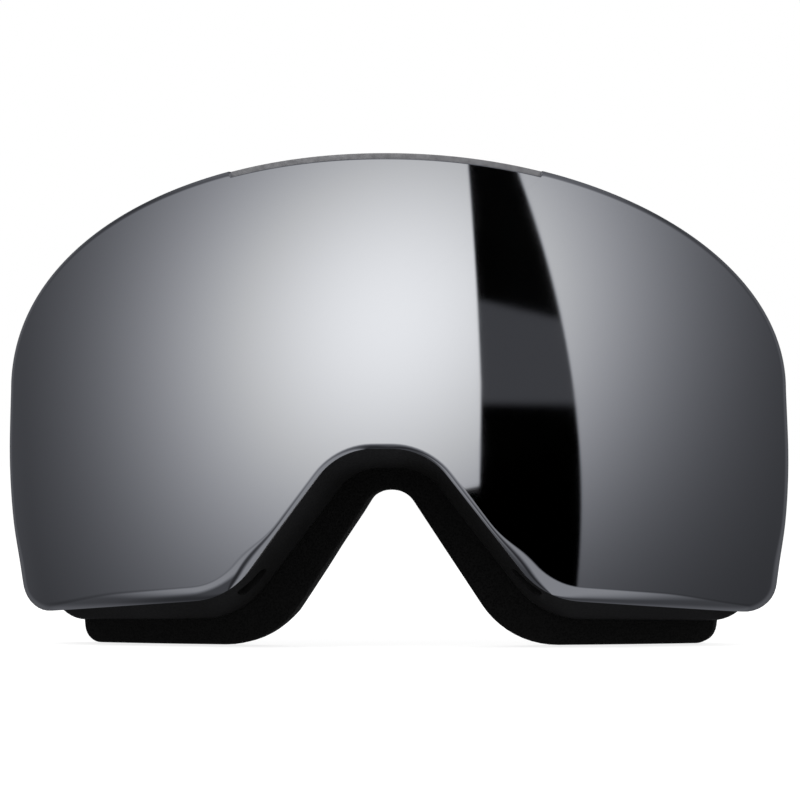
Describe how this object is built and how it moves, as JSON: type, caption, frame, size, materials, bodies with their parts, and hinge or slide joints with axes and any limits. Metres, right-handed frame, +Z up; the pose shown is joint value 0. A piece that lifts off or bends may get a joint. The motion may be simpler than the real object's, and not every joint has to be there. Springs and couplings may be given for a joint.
{
  "type": "ski goggles",
  "caption": "Frameless ski goggles with a mirrored double lens on magnets, a vented soft frame, layered face foam and an elastic strap on hinged outriggers.",
  "frame": {"origin": "centre of the box's underside: on the plane the face foam stands on, midway between the lens's front and the strap's back", "axes": "+Z up, -Y forward through the lens, +X toward the wearer's left side"},
  "size_m": [0.1824, 0.23, 0.1132],
  "materials": {
    "lens_mirror": "silver-grey mirror coating on polycarbonate",
    "lens_clear": "smoke-tinted clear pane",
    "gasket_foam": "dense foam gasket",
    "carrier_plastic": "moulded nylon, satin",
    "magnet_metal": "nickel plated",
    "frame_rubber": "soft moulded polyurethane, fine matt",
    "filter_foam": "open-cell filter foam",
    "face_foam": "moulded open-cell foam",
    "fleece": "brushed fleece",
    "hardware_plastic": "moulded nylon, fine matt",
    "pin_steel": "drawn steel",
    "webbing": "ribbed woven elastic",
    "silicone": "printed silicone, glossy"
  },
  "bodies": {
    "frame": {"frame": "frame_rubber", "frame_keepers": "magnet_metal", "top_vent_filter": "filter_foam", "lower_vent_filter_left": "filter_foam", "lower_vent_filter_right": "filter_foam", "face_foam_base": "face_foam", "face_foam_comfort": "face_foam", "face_fleece": "fleece", "hinge_pin_left": "pin_steel", "hinge_pin_right": "pin_steel", "strap_tail_left": "webbing", "strap_tail_right": "webbing"},
    "lens_module": {"outer_lens": "lens_mirror", "lens_spacer": "gasket_foam", "inner_lens": "lens_clear", "lens_carrier": "carrier_plastic", "carrier_magnets": "magnet_metal"},
    "outrigger_left": {"outrigger_left": "hardware_plastic", "strap_end_left": "webbing"},
    "outrigger_right": {"outrigger_right": "hardware_plastic", "strap_end_right": "webbing"},
    "strap": {"strap_band": "webbing", "strap_grip": "silicone"},
    "slider_left": {"slider_left": "hardware_plastic"},
    "slider_right": {"slider_right": "hardware_plastic"}
  },
  "joints": [
    {"name": "lens_release", "type": "slide", "parent": "frame", "child": "lens_module", "axis": [0, -1, 0], "range_m": [0, 0.04]},
    {"name": "outrigger_left_hinge", "type": "hinge", "parent": "frame", "child": "outrigger_left", "pos_m": [0.085, -0.0385, 0.0555], "axis": [0, 0, -1], "range_deg": [-4, 12]},
    {"name": "outrigger_right_hinge", "type": "hinge", "parent": "frame", "child": "outrigger_right", "pos_m": [-0.085, -0.0385, 0.0555], "axis": [0, 0, 1], "range_deg": [-4, 12]},
    {"name": "strap_stretch", "type": "slide", "parent": "frame", "child": "strap", "axis": [0, 1, 0], "range_m": [0, 0.04]},
    {"name": "slider_left_adjust", "type": "slide", "parent": "frame", "child": "slider_left", "axis": [0, 1, 0], "range_m": [-0.006, 0.012]},
    {"name": "slider_right_adjust", "type": "slide", "parent": "frame", "child": "slider_right", "axis": [0, 1, 0], "range_m": [-0.006, 0.012]}
  ]
}
